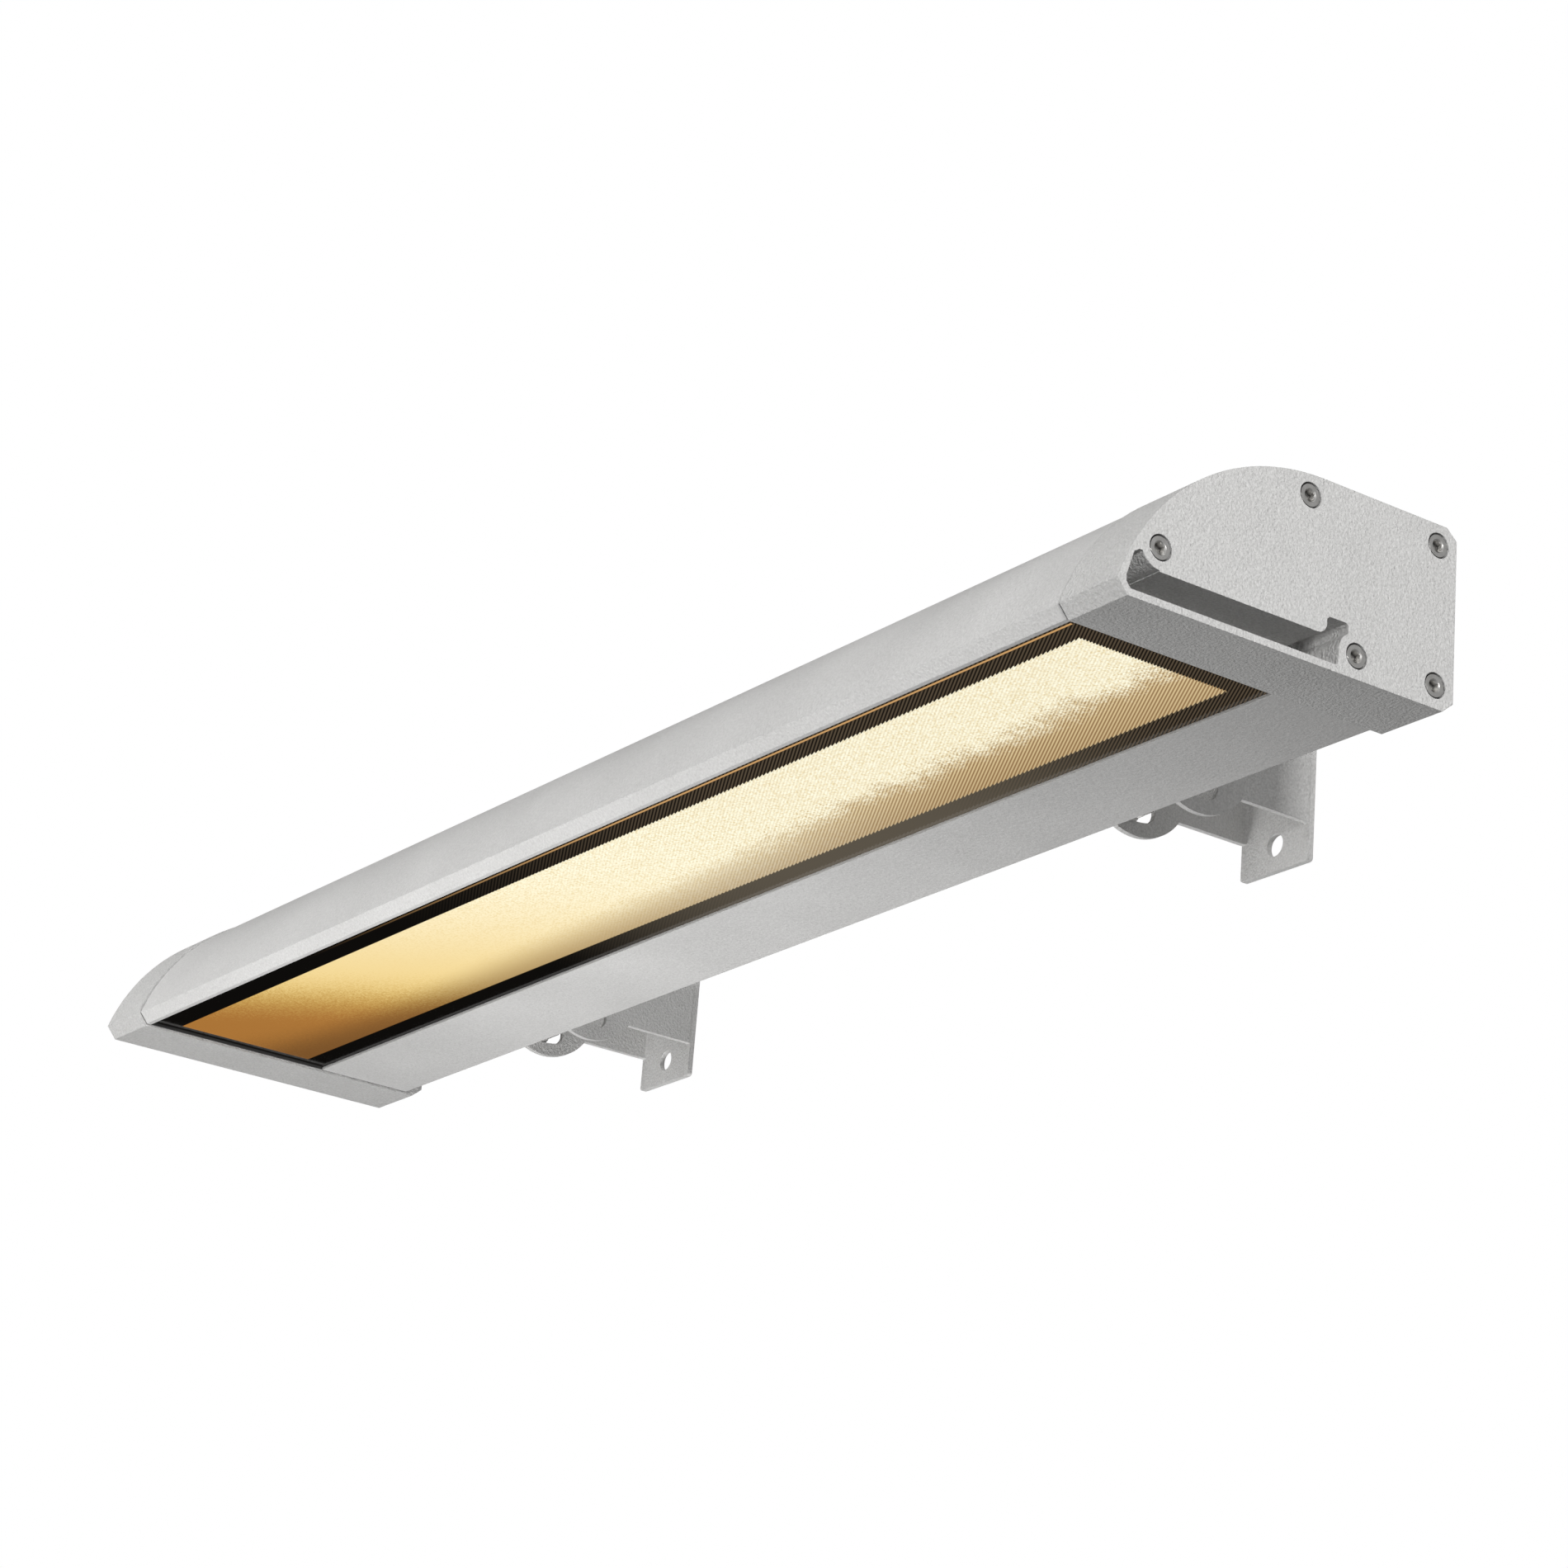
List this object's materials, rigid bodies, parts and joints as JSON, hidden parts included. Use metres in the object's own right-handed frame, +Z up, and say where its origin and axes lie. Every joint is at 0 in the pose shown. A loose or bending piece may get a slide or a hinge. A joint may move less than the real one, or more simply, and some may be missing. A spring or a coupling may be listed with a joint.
{
  "type": "outdoor wall washer light",
  "caption": "Long outdoor wall washer light: an extruded lamp head with a glass underside and cast end caps, tilting between two steel wall brackets.",
  "frame": {"origin": "on the wall plane, in the middle of the four wall holes, at the height of the pivot", "axes": "+X along the lamp, away from its cable gland; +Y into the wall; +Z up"},
  "size_m": [0.7562, 0.2356, 0.0702],
  "materials": {
    "lamp_paint": "powder coated light grey, fine texture",
    "seal": "matte black silicone",
    "stainless": "plain stainless steel",
    "glass": "toughened, black printed border",
    "reflector": "bright white sheet",
    "board": "white lamp board",
    "chip": "yellow lamp chips",
    "lens": "clear optical plastic",
    "driver_case": "potted power supply",
    "tray": "bare sheet",
    "terminal": "terminal block",
    "lead": "sheathed lead",
    "gland": "black polyamide",
    "bracket_steel": "powder coated light grey steel sheet",
    "slide_ring": "hard sliding plastic"
  },
  "bodies": {
    "wall_brackets": {"wall_bracket_left": "bracket_steel", "wall_bracket_right": "bracket_steel", "pivot_bolts": "stainless", "pivot_washers": "stainless", "pivot_nuts": "stainless"},
    "lamp": {"case": "lamp_paint", "end_cap_left": "lamp_paint", "end_cap_right": "lamp_paint", "end_seal_left": "seal", "end_seal_right": "seal", "cap_screws_left": "stainless", "cap_screws_right": "stainless", "glass": "glass", "glass_seal": "seal", "reflector_front": "reflector", "reflector_rear": "reflector", "lamp_boards": "board", "lamp_chips": "chip", "lens_bars": "lens", "driver": "driver_case", "driver_tray": "tray", "tray_screws": "stainless", "terminal_block": "terminal", "inner_leads": "lead", "gland_body": "gland", "gland_ring_nut": "gland", "gland_seal": "seal", "gland_dome_nut": "gland", "hinge_plate_left": "bracket_steel", "hinge_plate_right": "bracket_steel", "groove_screws": "stainless", "groove_nuts": "stainless", "friction_rings": "slide_ring", "lock_bolts": "stainless", "lock_washers": "stainless", "lock_nuts": "stainless"}
  },
  "joints": [
    {"name": "tilt", "type": "hinge", "parent": "wall_brackets", "child": "lamp", "pos_m": [0, -0.0585, 0], "axis": [1, 0, 0], "range_deg": [-90, 32]}
  ]
}
